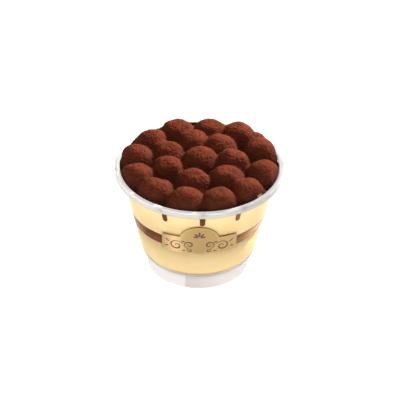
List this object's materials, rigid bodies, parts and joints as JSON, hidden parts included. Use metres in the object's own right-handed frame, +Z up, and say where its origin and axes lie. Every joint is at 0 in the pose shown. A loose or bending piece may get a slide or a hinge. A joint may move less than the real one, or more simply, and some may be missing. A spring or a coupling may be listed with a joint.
{
  "type": "tiramisu in a clear cup",
  "caption": "Layered tiramisu in a clear plastic dessert cup: cream, a coffee-soaked sponge band and piped cream mounds dusted with cocoa, with a plain gold label.",
  "frame": {"origin": "centre of the foot ring, on the surface that the cup stands on", "axes": "+Z up along the axis of the cup, -Y out through the middle of the label, +X to the right of the label"},
  "size_m": [0.095, 0.095, 0.0739],
  "materials": {
    "clear_plastic": "clear glossy thin moulded plastic",
    "gold_print": "satin gold print on film",
    "cream": "smooth soft custard cream",
    "sponge": "coffee-soaked sponge, moist and porous",
    "cocoa": "dry cocoa powder"
  },
  "bodies": {
    "root": {"cup": "clear_plastic", "label": "gold_print", "cream_lower": "cream", "sponge_layer": "sponge", "cream_upper": "cream", "cocoa_bed": "cocoa", "mound_01": "cocoa", "mound_02": "cocoa", "mound_03": "cocoa", "mound_04": "cocoa", "mound_05": "cocoa", "mound_06": "cocoa", "mound_07": "cocoa", "mound_08": "cocoa", "mound_09": "cocoa", "mound_10": "cocoa", "mound_11": "cocoa", "mound_12": "cocoa", "mound_13": "cocoa", "mound_14": "cocoa", "mound_15": "cocoa", "mound_16": "cocoa", "mound_17": "cocoa", "mound_18": "cocoa", "mound_19": "cocoa", "mound_20": "cocoa"}
  },
  "joints": []
}
